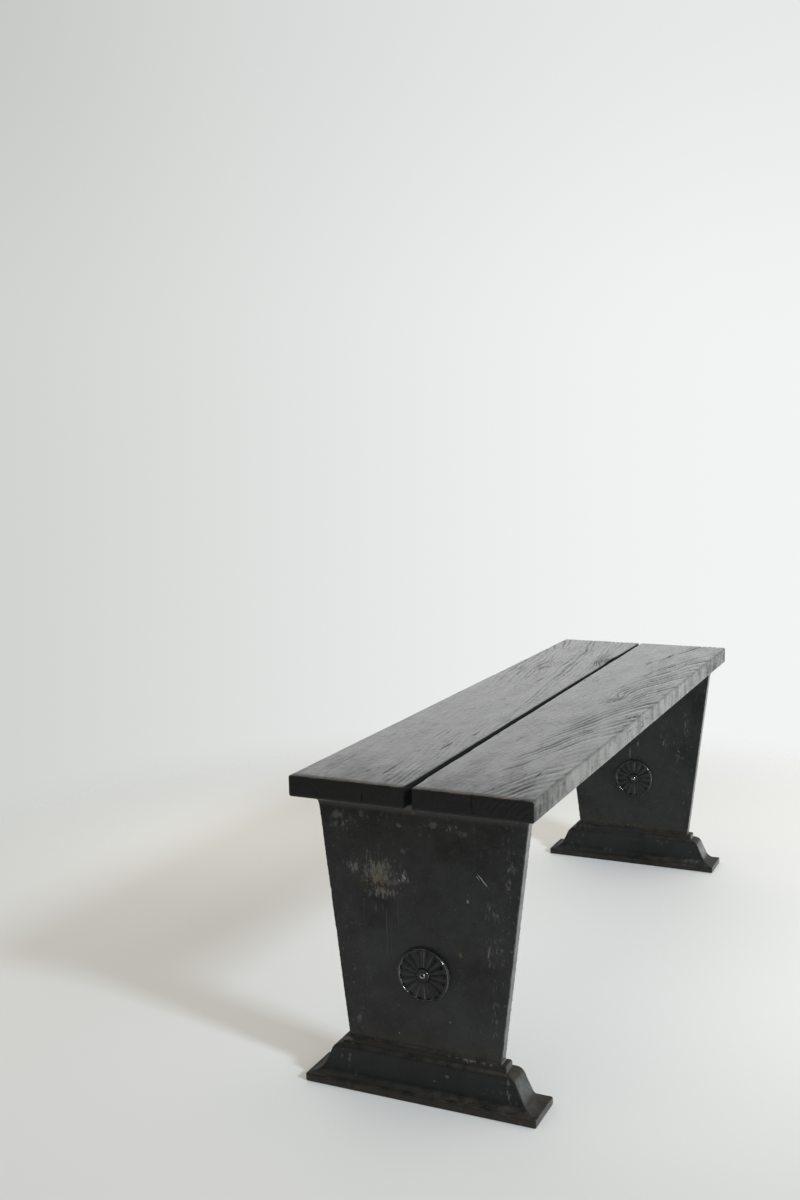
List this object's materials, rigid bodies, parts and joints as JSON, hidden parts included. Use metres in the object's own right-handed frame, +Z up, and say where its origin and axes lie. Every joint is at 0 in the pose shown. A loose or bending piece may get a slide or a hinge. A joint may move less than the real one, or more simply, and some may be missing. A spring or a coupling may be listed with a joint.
{
  "type": "cast iron bench",
  "caption": "Backless bench: stained timber planks side by side on tapered cast iron end panels with moulded feet and fluted rosettes, for a porch, garden or hall.",
  "frame": {"origin": "on the floor, under the middle of the bench", "axes": "+X along the planks from the near end to the far end, +Y across to the left plank, +Z up"},
  "size_m": [1.185, 0.355, 0.45],
  "materials": {
    "seat_wood": "black stained old board, satin, raised weathered grain",
    "panel_iron": "black painted casting, satin, worn with pale scuffs and rust",
    "foot_iron": "black painted casting, satin, brown rust on ledges and lip",
    "rosette_iron": "black painted casting, semi-gloss",
    "fastener_steel": "dark, lightly rusted"
  },
  "bodies": {
    "root": {"left_plank": "seat_wood", "right_plank": "seat_wood", "near_end_panel": "panel_iron", "far_end_panel": "panel_iron", "near_foot": "foot_iron", "far_foot": "foot_iron", "near_outer_rosette": "rosette_iron", "far_outer_rosette": "rosette_iron", "near_inner_rosette": "rosette_iron", "far_inner_rosette": "rosette_iron", "near_rosette_rivet": "rosette_iron", "far_rosette_rivet": "rosette_iron", "near_seat_screws": "fastener_steel", "far_seat_screws": "fastener_steel", "near_seat_washers": "fastener_steel", "far_seat_washers": "fastener_steel", "near_foot_bolts": "fastener_steel", "far_foot_bolts": "fastener_steel", "near_foot_washers": "fastener_steel", "far_foot_washers": "fastener_steel"}
  },
  "joints": []
}
